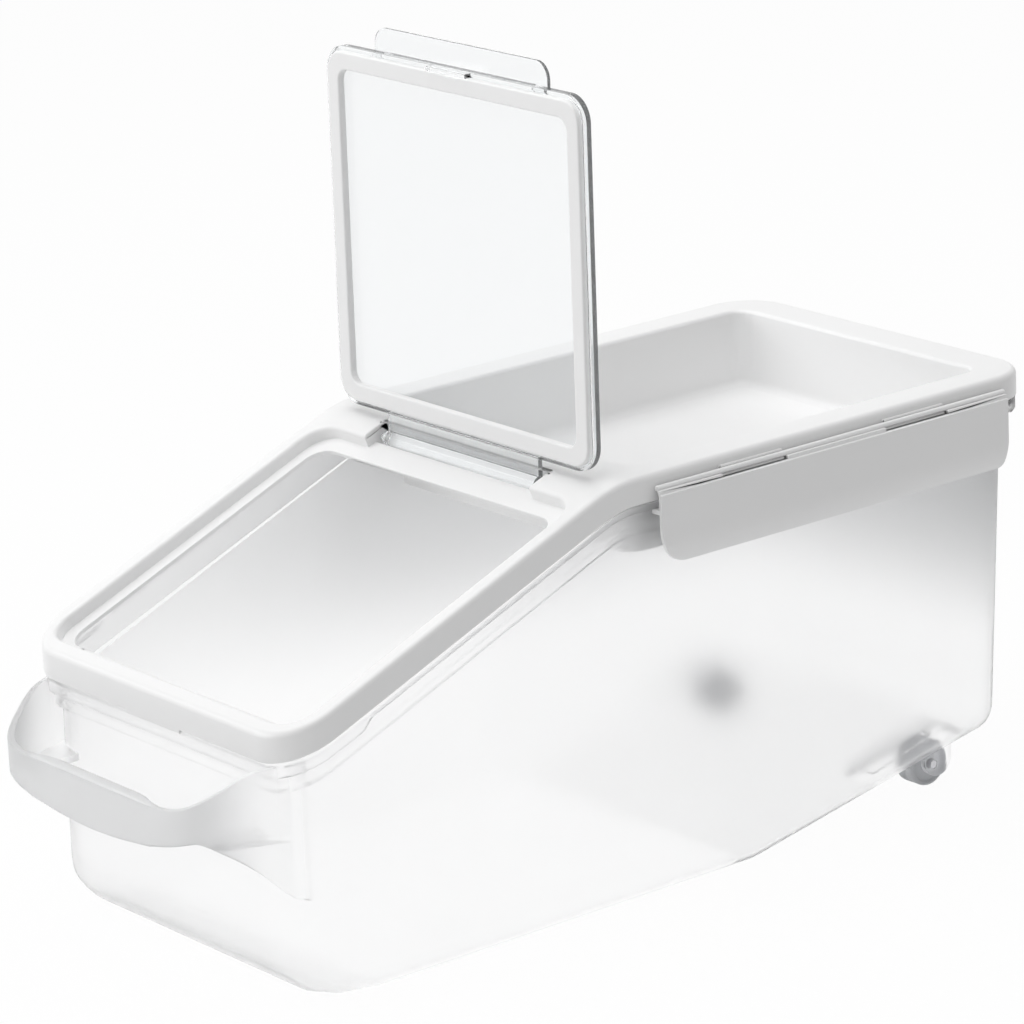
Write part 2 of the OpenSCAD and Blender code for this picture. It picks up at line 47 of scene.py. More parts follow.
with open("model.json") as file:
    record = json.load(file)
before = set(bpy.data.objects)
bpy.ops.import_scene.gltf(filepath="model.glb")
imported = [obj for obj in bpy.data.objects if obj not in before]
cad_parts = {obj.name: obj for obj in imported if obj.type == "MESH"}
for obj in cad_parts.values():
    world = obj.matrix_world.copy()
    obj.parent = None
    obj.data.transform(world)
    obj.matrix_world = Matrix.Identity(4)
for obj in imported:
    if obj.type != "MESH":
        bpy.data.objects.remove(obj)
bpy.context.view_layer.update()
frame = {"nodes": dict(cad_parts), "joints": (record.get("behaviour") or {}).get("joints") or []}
NODES = frame["nodes"]
JOINTS = {joint["name"]: joint for joint in frame["joints"]}
MM = 0.001

# Sizes of the bin in millimetres, measured from the front of the frame, with Z up from the floor
FRAME_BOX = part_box("top_frame")
FRONT_Y = FRAME_BOX[0].y / MM
LENGTH = FRAME_BOX[1].y / MM - FRONT_Y
HALF_W = 100.0
REAR_H = FRAME_BOX[1].z / MM
FRONT_H = 127.0
BEND_Y = 180.0
BEND_R = 60.0
CORNER_R = 24.0
SLOPE = math.atan2(REAR_H - FRONT_H, BEND_Y)


# ---------------------------------------------------------------- shapes


def bend(down):
    """Start and end of the bend along the bin, its centre's height and its radius, at a depth."""
    radius = BEND_R - down
    y = BEND_Y + BEND_R * math.tan(SLOPE / 2)
    z = REAR_H - BEND_R
    return y - radius * math.sin(SLOPE), y, z, radius


def top_z(y, down=0.0):
    """Height of the frame's top surface, or of a surface at a depth below it."""
    y = np.asarray(y, float)
    start, end, centre_z, radius = bend(down)
    slope = FRONT_H + y * math.tan(SLOPE) - down / math.cos(SLOPE)
    across = np.clip(y - end, -radius, 0)
    curve = centre_z + np.sqrt(radius * radius - across * across)
    return np.where(y < start, slope, np.where(y > end, REAR_H - down, curve))


def plan_distance(x, y, inset=0.0):
    """Distance of a point outside the frame's outline in plan; it is negative inside."""
    radius = CORNER_R - inset
    dx = np.abs(x) - (HALF_W - inset - radius)
    dy = np.abs(y - LENGTH / 2) - (LENGTH / 2 - inset - radius)
    outside = np.hypot(np.maximum(dx, 0), np.maximum(dy, 0))
    return outside + np.minimum(np.maximum(dx, dy), 0) - radius


def plan_hit(start, way, inset):
    """Where rays in plan meet the outline drawn in by a distance."""
    low, high = np.zeros(len(start)), np.full(len(start), 400.0)
    for _ in range(40):
        mid = (low + high) / 2
        point = start + way * mid[:, None]
        painted_shade_inside = plan_distance(point[:, 0], point[:, 1], inset) < 0
        low, high = np.where(painted_shade_inside, mid, low), np.where(painted_shade_inside, high, mid)
    return start + way * low[:, None]


def new_object(name, bm, smooth_angle=35.0):
    """Puts a mesh built in millimetres from the frame's front into the scene, in metres."""
    bm.transform(Matrix.Scale(MM, 4) @ Matrix.Translation((0, FRONT_Y, 0)))
    bmesh.ops.recalc_face_normals(bm, faces=bm.faces)
    mesh = bpy.data.meshes.new(name)
    for face in bm.faces:
        face.smooth = True
    limit = math.radians(smooth_angle)
    for edge in bm.edges:
        edge.smooth = len(edge.link_faces) != 2 or edge.calc_face_angle(0) < limit
    bm.to_mesh(mesh)
    bm.free()
    obj = bpy.data.objects.new(name, mesh)
    bpy.context.scene.collection.objects.link(obj)
    return obj


def even_light(obj):
    """Lets the large flat faces set the shading beside roundings."""
    mod = obj.modifiers.new("even light", "WEIGHTED_NORMAL")
    mod.keep_sharp = True
    mod.weight = 80


def from_node(node, cuts=()):
    """A welded copy of a CAD node's mesh, in millimetres from the frame's front.

    Its flat faces are whole, and those that have a hole are cut at the given axes and distances.
    """
    bm = bmesh.new()
    bm.from_mesh(NODES[node].data)
    bm.transform(Matrix.Translation((0, -FRONT_Y, 0)) @ Matrix.Scale(1 / MM, 4))
    bmesh.ops.remove_doubles(bm, verts=bm.verts, dist=1e-3)
    for axis, value in cuts:
        place, normal = Vector((0, 0, 0)), Vector((0, 0, 0))
        place[axis] = value
        normal[axis] = 1
        everything = bm.verts[:] + bm.edges[:] + bm.faces[:]
        bmesh.ops.bisect_plane(bm, geom=everything, dist=1e-4, plane_co=place, plane_no=normal)
    limit = math.radians(0.3)
    flat = [
        edge
        for edge in bm.edges
        if len(edge.link_faces) == 2
        and edge.calc_face_angle(0) < limit
        and not any(
            max(abs(v.co[axis] - value) for v in edge.verts) < 1e-3 for axis, value in cuts
        )
    ]
    bmesh.ops.dissolve_edges(bm, edges=flat, use_verts=False)
    return bm


def rounding_plan(bm, width_at, sharper=30.0):
    """Writes on each sharp edge how far it is rounded, which width_at gives in millimetres."""
    layer = bm.edges.layers.float.new("bevel_weight_edge")
    limit = math.radians(sharper)
    widest = 4.0
    for edge in bm.edges:
        if len(edge.link_faces) == 2 and edge.calc_face_angle(0) > limit:
            edge[layer] = width_at(edge.verts[0].co, edge.verts[1].co) / widest
    return widest * MM


def softened(node, name, width_at, cuts=(), segments=3):
    """A copy of a CAD node with rounded edges and even shading beside them."""
    bm = from_node(node, cuts)
    width = rounding_plan(bm, width_at)
    obj = new_object(name, bm, 180)
    mod = obj.modifiers.new("rounded edges", "BEVEL")
    mod.limit_method = "WEIGHT"
    mod.width = width
    mod.segments = segments
    mod.use_clamp_overlap = False
    mod.miter_outer = "MITER_SHARP"
    even_light(obj)
    return obj


def join_rings(bm, rings, endless=False):
    """Fills between rings of points, also from the last to the first if endless; gives the rows."""
    rows = [[bm.verts.new(p) for p in ring] for ring in rings]
    for low, high in zip(rows, rows[1:] + rows[: int(endless)]):
        count = len(low)
        for i in range(count):
            j = (i + 1) % count
            bm.faces.new((low[i], low[j], high[j], high[i]))
    return rows


def prism(outline, low, high, axis="z"):
    """A closed bar between two values along an axis, with an outline across it."""
    bm = bmesh.new()
    flat = [Vector(p) for p in outline]
    edges = [(i, (i + 1) % len(flat)) for i in range(len(flat))]
    points, _, faces, _, _, _ = delaunay_2d_cdt(flat, edges, [], 4, 1e-7)
    place = {
        "x": lambda u, v, h: (h, u, v),
        "y": lambda u, v, h: (u, h, v),
        "z": lambda u, v, h: (u, v, h),
    }[axis]
    ends = [[bm.verts.new(place(p.x, p.y, h)) for p in points] for h in (low, high)]
    for face in faces:
        bm.faces.new([ends[0][i] for i in face])
        bm.faces.new([ends[1][i] for i in reversed(face)])
    for a, b in edges:
        bm.faces.new((ends[0][a], ends[0][b], ends[1][b], ends[1][a]))
    bmesh.ops.recalc_face_normals(bm, faces=bm.faces)
    return bm


def combine(first, second, operation):
    """Joins, cuts or crosses two closed meshes, and frees them."""
    objects = []
    for bm in (first, second):
        if any(len(edge.link_faces) != 2 for edge in bm.edges):
            raise RuntimeError("a form that is joined or cut isn't closed")
        bmesh.ops.recalc_face_normals(bm, faces=bm.faces)
        mesh = bpy.data.meshes.new("working")
        bm.to_mesh(mesh)
        bm.free()
        obj = bpy.data.objects.new("working", mesh)
        bpy.context.scene.collection.objects.link(obj)
        objects.append(obj)
    mod = objects[0].modifiers.new("working", "BOOLEAN")
    mod.operation = operation
    mod.solver = "MANIFOLD"
    mod.object = objects[1]
    depsgraph = bpy.context.evaluated_depsgraph_get()
    result = bmesh.new()
    result.from_mesh(objects[0].evaluated_get(depsgraph).data)
    for obj in objects:
        mesh = obj.data
        bpy.data.objects.remove(obj)
        bpy.data.meshes.remove(mesh)
    if not result.faces:
        raise RuntimeError(f"the {operation.lower()} of two forms left nothing")
    return result


# ---------------------------------------------------------------- top frame

# Half widths and front ends of the hinge channel and the tray, and where the skirt's edges begin
CHANNEL_X, CHANNEL_Y = 59.0, 163.0
HOOK_Y = (256.5, 353.5)
TRAY_X, TRAY_Y = 82.0, 195.0
TRAY_FLOOR = REAR_H - 38
SKIRT_DEPTH, SKIRT_X = 12.0, 95.0


def frame_rounding(a, b):
    """How far an edge of the top frame is rounded, by its two ends."""
    widest = max(abs(a.x), abs(b.x))
    foremost = min(a.y, b.y)
    if max(abs(p.z - float(top_z(p.y))) for p in (a, b)) < 0.06:
        if min(plan_distance(p.x, p.y) for p in (a, b)) > -0.08:
            return 2.8
        if foremost > TRAY_Y:
            return 2.0
        return 0.9 if foremost > CHANNEL_Y and widest < CHANNEL_X + 0.1 else 2.3
    if max(abs(p.z - TRAY_FLOOR) for p in (a, b)) < 0.05 and widest < TRAY_X + 0.1:
        return 4.0
    depth = min(float(top_z(p.y)) - p.z for p in (a, b))
    return 0.5 if depth > SKIRT_DEPTH and abs(a.x) > SKIRT_X else 0.4


def build_top_frame():
    """The white top frame with its moulded roundings."""
    beside_channel = CHANNEL_X + 3
    cuts = [(1, y) for y in (90.0, *HOOK_Y)] + [(0, -beside_channel), (0, beside_channel)]
    return softened("top_frame", "frame_shell", frame_rounding, cuts, 4)


# ---------------------------------------------------------------- bin body

# The body's walls lean outwards; its toe is at the front, its heel at the rear of the ramp
WALL = 2.2
SIDE_LEAN, FRONT_LEAN, REAR_LEAN = (math.radians(angle) for angle in (1.4, 2.3, 3.7))
SIDE_X = 95.4
FOOT_X = SIDE_X - (REAR_H - 9) * math.tan(SIDE_LEAN)
FOOT_FRONT, TOE_R = 1.5, 32.0
FRONT_TOP = FOOT_FRONT + 183 * math.tan(FRONT_LEAN)
REAR_TOP = LENGTH - 6.6
FOOT_REAR = REAR_TOP - (REAR_H - 40) * math.tan(REAR_LEAN)
WALL_CORNER = 22
HULL_TOP = 216.0
RAMP_Y = 262.0
RAMP = math.radians(9.8)
HEEL_R = 14


def ramp_z(y):
    """Height of the ramp under the body's rear."""
    return 0.5 + (y - RAMP_Y) * math.tan(RAMP)


def body_balls():
    """Centres and radii of the balls that the body's form is stretched over, on the right side."""
    balls = []
    middle = FOOT_FRONT + TOE_R
    for i in range(4):
        angle, radius = math.radians(30 * i), 24 - 4 * i
        reach = TOE_R - radius
        y, z = middle - reach * math.cos(angle), middle - reach * math.sin(angle)
        balls.append(((FOOT_X - radius, y, z), radius))
    balls.append(((FOOT_X - 9.5, 50, 9.5), 9))
    balls.append(((FOOT_X - 9, RAMP_Y, 9.5), 9))
    heel_y = FOOT_REAR - HEEL_R
    balls.append(((FOOT_X - 13, heel_y, ramp_z(heel_y) + HEEL_R / math.cos(RAMP)), HEEL_R))
    return balls


def body_hull(inset):
    """The body's outer form, drawn in by a distance."""
    bm = bmesh.new()
    turns = np.linspace(0, 2 * math.pi, 96, endpoint=False)
    tilts = np.linspace(-math.pi / 2, math.pi / 2, 49)
    spots = []
    for centre, radius in body_balls():
        r = radius - inset
        for tilt in tilts:
            ring = r * math.cos(tilt)
            height = centre[2] + r * math.sin(tilt)
            for turn in turns:
                x, y = centre[0] + ring * math.cos(turn), centre[1] + ring * math.sin(turn)
                spots.append((x, y, height))
    radius = WALL_CORNER - inset
    for y in (FRONT_TOP + WALL_CORNER, REAR_TOP + 1 - WALL_CORNER):
        for z in (HULL_TOP - 1, HULL_TOP):
            for turn in turns:
                x = SIDE_X - WALL_CORNER + radius * math.cos(turn)
                spots.append((x, y + radius * math.sin(turn), z))
    for x, y, z in spots:
        if x > -1:
            bm.verts.new((x, y, z))
            bm.verts.new((-x, y, z))
    bmesh.ops.convex_hull(bm, input=bm.verts)
    loose = [v for v in bm.verts if not v.link_faces]
    bmesh.ops.delete(bm, geom=loose, context="VERTS")
    return bm


# Steps of the body's rings: half across an end, along a side, and round a corner
END_STEPS, SIDE_STEPS, CORNER_STEPS = 9, 68, 14
FRONT_LAST = END_STEPS + CORNER_STEPS
REAR_FIRST = FRONT_LAST + SIDE_STEPS


def body_ring():
    """Starts and directions, in plan, of the rays that shape the body's wall, once round it."""
    x, y0, y1, corner = 60.0, 38.0, 378.0, 6
    front, rear = y0 + corner, y1 - corner
    starts, ways = [], []

    def round_corner(y, first):
        for i in range(CORNER_STEPS + 1):
            turn = math.radians(first + 90 * i / CORNER_STEPS)
            way = (math.cos(turn), math.sin(turn))
            starts.append((x + corner * way[0], y + corner * way[1]))
            ways.append(way)

    for i in range(END_STEPS):
        starts.append((x * i / END_STEPS, y0 - 1 + (i / END_STEPS) ** 2))
        ways.append((0, -1))
    round_corner(front, -90)
    for i in range(1, SIDE_STEPS):
        starts.append((x + corner, front + (rear - front) * i / SIDE_STEPS))
        ways.append((1, 0))
    round_corner(rear, 0)
    for i in range(END_STEPS, -1, -1):
        starts.append((x * i / END_STEPS, y1 + 1 - (i / END_STEPS) ** 2))
        ways.append((0, 1))
    starts += [(-sx, sy) for sx, sy in reversed(starts[1:-1])]
    ways += [(-wx, wy) for wx, wy in reversed(ways[1:-1])]
    return np.array(starts, float), np.array(ways, float)


def body_skin(inset, cut):
    """Rings of points from under the body's middle up its wall to a depth below the frame's top."""
    hull = body_hull(inset)
    tree = BVHTree.FromBMesh(hull)
    hull.free()
    starts, ways = body_ring()
    level = 34 + np.maximum(0, starts[:, 1] - RAMP_Y) * math.tan(RAMP)
    under_steps, wall_steps = 44, 14
    rings = []
    for i in range(under_steps + 1):
        tilt = -math.pi / 2 * (1 - i / under_steps)
        ring = []
        for (sx, sy), (wx, wy), z in zip(starts, ways, level):
            way = Vector((wx * math.cos(tilt), wy * math.cos(tilt), math.sin(tilt)))
            ring.append(tree.ray_cast(Vector((sx, sy, z)), way)[0])
        rings.append(ring)
    foot = rings[-1]
    for i in range(1, wall_steps + 1):
        ring = []
        for (sx, sy), (wx, wy), z, point in zip(starts, ways, level, foot):
            for _ in range(3):
                height = z + (float(top_z(point.y, cut)) - z) * i / wall_steps
                point = tree.ray_cast(Vector((sx, sy, height)), Vector((wx, wy, 0)))[0]
            ring.append(point)
        rings.append(ring)
    return rings


def band_ring(inset, down):
    """A ring on the frame's outline drawn in by a distance, at a depth that may follow its Y."""
    starts, ways = body_ring()
    points = plan_hit(starts, ways, inset)
    depth = down(points[:, 1]) if callable(down) else down
    heights = top_z(points[:, 1], depth)
    return [Vector((p[0], p[1], h)) for p, h in zip(points, heights)]


def collar_depth(y):
    """How far below the top the flange's turned-down edge reaches; both ends reach further."""
    return np.where((y < 41) | (y > LENGTH - 20), 19.0, 16.0)


def collar_edge(y):
    """The lowest line of the flange's turned-down edge, under its rounding."""
    return collar_depth(y) + 0.3


# Insets and depths below the top, up the wall's outside, round its flange and over its rim
RIM_PROFILE = (
    (3.8, 27.0),
    (3.8, 19.6),
    (3.8, 16.0),
    (2.6, 16.0),
    (2.6, collar_depth),
    (2.3, collar_edge),
    (0.9, collar_edge),
    (0.6, collar_depth),
    (0.6, 13.3),
    (0.9, 13.0),
    (3.8, 13.0),
    (3.8, 5.1),
    (4.3, 4.6),
    (5.5, 4.6),
    (6.0, 5.1),
    (6.0, 24.8),
)


def body_shell():
    """The body's wall and floor as one closed mesh, with its rim band and flange."""
    outer, inner = body_skin(0, RIM_PROFILE[0][1]), body_skin(WALL, RIM_PROFILE[-1][1])
    rim = [band_ring(inset, down) for inset, down in RIM_PROFILE]
    bm = bmesh.new()
    rows = join_rings(bm, outer + rim + list(reversed(inner)))
    count = len(rows[0])
    for row in (rows[0], rows[-1]):
        bm.faces.new(row[: FRONT_LAST + 1] + row[count - FRONT_LAST :])
        for i in range(FRONT_LAST, REAR_FIRST):
            bm.faces.new((row[i], row[i + 1], row[count - i - 1], row[count - i]))
        bm.faces.new(row[REAR_FIRST : count - REAR_FIRST + 1])
    return bm


# The wheels' middles, and the half width and wall of a wheel well and the thickness of a fork plate
WHEEL_Y, WHEEL_Z, WHEEL_X = LENGTH - 54, 15.0, 73.0
WELL_HALF, WELL_WALL, FORK_T = 8.9, 2.0, 2.4


def well_profile(grow):
    """Side view of a wheel well, in Y and Z, grown by its wall."""
    y0, y1 = WHEEL_Y - 38 - grow, WHEEL_Y + 18 + grow
    return [
        (y0, ramp_z(y0) - 8),
        (y0, ramp_z(y0) + 6 + grow),
        (WHEEL_Y + 6, WHEEL_Z + 17 + grow),
        (y1, WHEEL_Z + 10 + grow),
        (y1, ramp_z(y1) - 8),
    ]


def circle(x, y, radius, count=40, start=0.0, turn=360.0):
    """Points on a circle or an arc."""
    points = count + 1 if turn < 360 else count
    angles = [math.radians(start + turn * i / count) for i in range(points)]
    return [(x + radius * math.cos(angle), y + radius * math.sin(angle)) for angle in angles]


def add_wheel_wells(shell):
    """Opens the two wheel wells and sets the fork plates in them."""
    for side in (-1, 1):
        x0, x1 = side * WHEEL_X - WELL_HALF, side * WHEEL_X + WELL_HALF
        block = prism(well_profile(WELL_WALL), x0 - WELL_WALL, x1 + WELL_WALL, "x")
        block = combine(block, body_hull(WALL / 2), "INTERSECT")
        shell = combine(shell, block, "UNION")
        shell = combine(shell, prism(well_profile(0.0), x0, x1, "x"), "DIFFERENCE")
        lobe = circle(WHEEL_Y + 2.5, WHEEL_Z + 2.5, 8.5, 30, 180, 180)
        lobe += [(WHEEL_Y + 11, WHEEL_Z + 17.6), (WHEEL_Y - 6, WHEEL_Z + 17.2)]
        bore = circle(WHEEL_Y, WHEEL_Z, 2.05, 24)
        for edge, way in ((x0, -1), (x1, 1)):
            low, high = sorted((edge - way * FORK_T, edge + way * 0.4))
            plate, hole = prism(lobe, low, high, "x"), prism(bore, low - 1, high + 1, "x")
            shell = combine(shell, combine(plate, hole, "DIFFERENCE"), "UNION")
    return shell


# The handle's half width, reach and thickness, then its grip, shelf and webs
HANDLE_X, HANDLE_REACH, HANDLE_T = 88.0, 36.0, 3.2
HANDLE_ROOT = 16.5
GRIP_LOW, GRIP_HIGH, GRIP_RISE = 73.0, 96.0, 11
GRIP_BACK = -0.8 * HANDLE_REACH
GRIP_END = 0.86 * HANDLE_X
SHELF_DEPTH, SHELF_EASE = 7.0, 16
WEB_WIDTH, WEB_Z = 23.0, GRIP_LOW + 5
PAD_X, PAD_Y, PAD_CORNER = FOOT_X - 17, 155, 10

# Distances from the frame's front, and the heights of the handle's upper and lower edges there
HANDLE_TOPS = (
    (-HANDLE_REACH, -33.8, -27, -18, -12, -5, 0),
    (GRIP_HIGH, 97.2, 101.2, 106.2, 110, 112.4, 112.6),
)
HANDLE_UNDERS = ((GRIP_BACK, -14, -3.2, 6.1, HANDLE_ROOT), (82.7, GRIP_LOW, 64.7, 53, 49.5))


def handle_path(inset):
    """The handle's outline in plan, from one root to the other, drawn in by a distance."""
    x, y = HANDLE_X - inset, HANDLE_REACH - inset
    p = np.array([[x * 0.5, -y], [x * 0.8, -y], [x * 0.835, -y * 0.86], [x, 8.0]])
    t = np.linspace(0, 1, 41)[:, None]
    u = 1 - t
    half = u**3 * p[0] + 3 * u * u * t * p[1] + 3 * u * t * t * p[2] + t**3 * p[3]
    front = [[x * 0.5 * i / 8, -y] for i in range(8)]
    half = np.vstack([front, half, [[x, 12.0], [x, HANDLE_ROOT]]])
    left = half[::-1][:-1] * [-1, 1]
    return np.vstack([left, half])


def eased(values, rounds):
    """Values along the handle with their corners rounded off."""
    values = np.array(values)
    for _ in range(rounds):
        values[1:-1] = (values[:-2] + 2 * values[1:-1] + values[2:]) / 4
    return values


def swept(outer, inner, lows, highs, section):
    """A closed bar along the handle; its section is shares across it and drops from its edges."""
    bm = bmesh.new()
    rings = []
    for a, b, low, high in zip(outer, inner, lows, highs):
        places = [(a + (b - a) * across, drop) for across, drop in section]
        ring = [(p[0], p[1], high - drop) for p, drop in places]
        ring += [(p[0], p[1], low + drop) for p, drop in reversed(places)]
        rings.append(ring)
    rows = join_rings(bm, rings)
    bm.faces.new(list(reversed(rows[0])))
    bm.faces.new(rows[-1])
    return bm


def build_handle():
    """The bent band that the bin is pulled by, with the shelf along its top."""
    outer, inner = handle_path(0), handle_path(HANDLE_T)
    x, y = outer[:, 0], outer[:, 1]
    highs, lows = np.interp(y, *HANDLE_TOPS), np.interp(y, *HANDLE_UNDERS)
    arch = GRIP_LOW + GRIP_RISE * (x / GRIP_END) ** 2
    lows = np.where(y < GRIP_BACK, arch, lows)
    section = [(0.0, 1.4), (0.12, 0.5), (0.45, 0.0), (0.55, 0.0), (0.88, 0.5), (1.0, 1.4)]
    band = swept(outer, inner, eased(lows, 6), eased(highs, 3), section)
    outer, inner = handle_path(HANDLE_T / 2), handle_path(SHELF_DEPTH)
    front = inner[:, 1] < GRIP_BACK
    outer, inner = outer[front], inner[front]
    reach = np.abs(inner[:, 0])
    inward = np.clip((reach.max() - reach) / SHELF_EASE, 0, 1)
    width = 0.25 + 0.75 * inward * inward * (3 - 2 * inward)
    inner = outer + (inner - outer) * width[:, None]
    level = np.full(len(reach), GRIP_HIGH - 0.05)
    section = [(0.0, 0.0), (0.86, 0.0), (0.96, 0.3), (1.0, 1.0)]
    return combine(band, swept(outer, inner, level - HANDLE_T, level, section), "UNION")


def build_web(side):
    """The level web between one end of the handle and the front wall."""
    inner, front = HANDLE_X - WEB_WIDTH, -HANDLE_REACH / 2
    path = [p for p in handle_path(HANDLE_T / 2) if p[0] > inner and p[1] > front]
    outline = [(side * x, y) for x, y in path + [(inner, HANDLE_ROOT), (inner, front)]]
    web = prism(outline, WEB_Z, WEB_Z + HANDLE_T, "z")
    return combine(web, body_hull(WALL / 2), "DIFFERENCE")


def foot_pad():
    """The flat pad that the bin stands on."""
    outline = []
    for way_x, way_y, start in ((1, 1, 0), (-1, 1, 90), (-1, -1, 180), (1, -1, 270)):
        outline += circle(way_x * PAD_X, PAD_Y + way_y * 95, PAD_CORNER, 8, start, 90)
    return prism(outline, 0.0, 1.0, "z")


def build_body():
    """The body as one closed mesh, with its wheel wells, handle and foot pad."""
    shell = add_wheel_wells(body_shell())
    for extra in (build_handle(), build_web(-1), build_web(1), foot_pad()):
        shell = combine(shell, extra, "UNION")
    return shell


# ---------------------------------------------------------------- lid, seals, latches and rollers

HINGE_POINT = Vector(JOINTS["lid_hinge"]["pos_m"]) / MM - Vector((0, FRONT_Y, 0))
LID_TURN = Matrix.Rotation(math.radians(JOINTS["lid_hinge"]["range_deg"][1]) - SLOPE, 3, "X")
# Heights on the closed lid above its hinge, its front edge, and where ring-shaped faces are cut
LID_TOP, LID_RIM = 5.85, 1.45
LID_FRONT = -176.8
RING_CUTS = ((2, 280.0),)


def lid_rounding(a, b):
    """How far an edge of the clear lid is rounded, less so towards its finger flap."""
    a, b = (LID_TURN @ (p - HINGE_POINT) for p in (a, b))
    heights = (a.z, b.z)
    if max(abs(h - LID_TOP) for h in heights) < 0.05:
        return float(np.interp((a.y + b.y) / 2, [LID_FRONT, LID_FRONT + 13], [0.3, 1.1]))
    if max(abs(h - LID_RIM) for h in heights) < 0.05:
        return 0.45
    if min(heights) > LID_TOP + 0.3:
        return 0.6
    return 0.3


def build_lid():
    """The clear lid with its flap, catch and hinge tongue."""
    return softened("flip_lid", "lid_shell", lid_rounding, RING_CUTS)


def even_rounding(millimetres):
    """A rounding that is the same on every sharp edge."""
    return lambda a, b: millimetres


def wheel_shape(side):
    """A roller turned about its axle, with a rounded tread, a rim at each side and a sunk face."""
    tread, hub, bore, half, curve = 11.0, 4.2, 2.1, 6.0, 1.5
    profile = [(bore, -half + 0.5), (bore + 0.3, -half), (hub - 0.4, -half), (hub, -half + 0.4)]
    profile += [(hub + 0.3, -half + 1.6), (hub + 0.9, -half + 1.9), (tread - 2.6, -half + 1.9)]
    profile += [(tread - 2.1, -half + 1.6), (tread - 1.9, -half + 0.4), (tread - 1.6, -half)]
    for degrees in range(10, 91, 16):
        angle = math.radians(degrees)
        r = tread - curve + curve * math.sin(angle)
        profile.append((r, -half + curve - curve * math.cos(angle)))
    profile += [(tread, -1.2), (tread - 0.25, -0.9)]
    profile += [(r, -x) for r, x in reversed(profile)]
    steps = 96
    rings = []
    for i in range(steps):
        turn = 2 * math.pi * i / steps
        across, up = math.cos(turn), math.sin(turn)
        rings.append(
            [(side * WHEEL_X + x, WHEEL_Y + r * across, WHEEL_Z + r * up) for r, x in profile]
        )
    bm = bmesh.new()
    join_rings(bm, rings, endless=True)
    return bm


# ---------------------------------------------------------------- shading


class Number:
    """A number in a material's node tree, on which ordinary arithmetic adds Math nodes."""

    def __init__(self, graph, socket):
        self.graph = graph
        self.socket = socket

    def maths(self, operation, *values):
        """The result of one operation on numbers."""
        node = self.graph.node("Math", {"operation": operation}, dict(enumerate(values)))
        return Number(self.graph, node.outputs[0])

    def __add__(self, other):
        return self.maths("ADD", self, other)

    __radd__ = __add__

    def __sub__(self, other):
        return self.maths("SUBTRACT", self, other)

    def __rsub__(self, other):
        return self.maths("SUBTRACT", other, self)

    def __mul__(self, other):
        return self.maths("MULTIPLY", self, other)

    __rmul__ = __mul__

    def within(self, low, high):
        """Goes smoothly from 0 at one value to 1 at the other."""
        settings = {"interpolation_type": "SMOOTHSTEP"}
        inputs = {"Value": self, "From Min": low, "From Max": high}
        return Number(self.graph, self.graph.node("MapRange", settings, inputs).outputs["Result"])


class Graph:
    """A node tree in which any node is one call."""

    def __init__(self, owner):
        owner.use_nodes = True
        self.tree = owner.node_tree
        self.tree.nodes.clear()
        self.place = None

    def node(self, kind, settings=None, inputs=None):
        """Adds a node, makes its settings, then sets or links its sockets by name or number."""
        made = self.tree.nodes.new("ShaderNode" + kind)
        for key, value in (settings or {}).items():
            setattr(made, key, value)
        for key, value in (inputs or {}).items():
            self.feed(made.inputs[key], value)
        return made

    def feed(self, socket, value):
        """Links a socket to a number or another socket, or sets its value."""
        if isinstance(value, Number):
            value = value.socket
        if isinstance(value, bpy.types.NodeSocket):
            self.tree.links.new(value, socket)
        else:
            socket.default_value = value

    def where(self):
        """The place on the piece, in metres."""
        if self.place is None:
            self.place = self.node("TexCoord").outputs["Object"]
        return self.place

    def stretched(self, factors):
        """The place on the piece, with a factor on each coordinate."""
        inputs = {0: self.where(), 1: factors}
        return self.node("VectorMath", {"operation": "MULTIPLY"}, inputs).outputs[0]

    def axis(self, letter):
        """One coordinate of the place on the piece, in metres."""
        split = self.node("SeparateXYZ", None, {0: self.where()})
        return Number(self, split.outputs[letter])

    def facing_middle(self):
        """Above 0 where the surface faces the upright line through the middle of the piece."""
        inward = self.stretched((-1, -1, 0))
        inputs = {0: inward, 1: self.node("TexCoord").outputs["Normal"]}
        product = self.node("VectorMath", {"operation": "DOT_PRODUCT"}, inputs)
        return Number(self, product.outputs["Value"])

    def noise(self, size, detail=2.0, factors=None):
        """Soft noise from 0 to 1 whose lumps have a size in metres."""
        at = self.stretched(factors) if factors else self.where()
        inputs = {"Vector": at, "Scale": 1 / size, "Detail": detail}
        return Number(self, self.node("TexNoise", None, inputs).outputs["Fac"])

    def tint(self, share, first, second):
        """A colour between two, by a share."""
        colours = {0: share, 6: (*first, 1.0), 7: (*second, 1.0)}
        return self.node("Mix", {"data_type": "RGBA"}, colours).outputs[2]

    def relief(self, height, depth):
        """A fine relief of the surface, with its depth in metres."""
        inputs = {"Height": height, "Distance": depth, "Strength": 1.0}
        return self.node("Bump", None, inputs).outputs["Normal"]

    def surface(self, inputs):
        """A plastic, rubber or metal surface."""
        return self.node("BsdfPrincipled", None, inputs).outputs[0]

    def between(self, share, first, second):
        """A mix of two surfaces."""
        return self.node("MixShader", None, {0: share, 1: first, 2: second}).outputs[0]

    def seen_directly(self):
        """1 for the camera, reflections and see-through parts, and 0 for light that falls."""
        light_path = self.node("LightPath")
        seen = Number(self, light_path.outputs["Is Camera Ray"])
        for kind in ("Is Glossy Ray", "Is Transmission Ray"):
            seen = seen + Number(self, light_path.outputs[kind])
        return seen.maths("MINIMUM", seen, 1.0)

    def finish(self, shader, kind="OutputMaterial"):
        """Ends the tree with a shader."""
        self.node(kind, None, {"Surface": shader})


def shade_of(colour, share):
    """A colour made darker by a share, or lighter by a negative one."""
    return tuple(c * (1 - share) for c in colour)


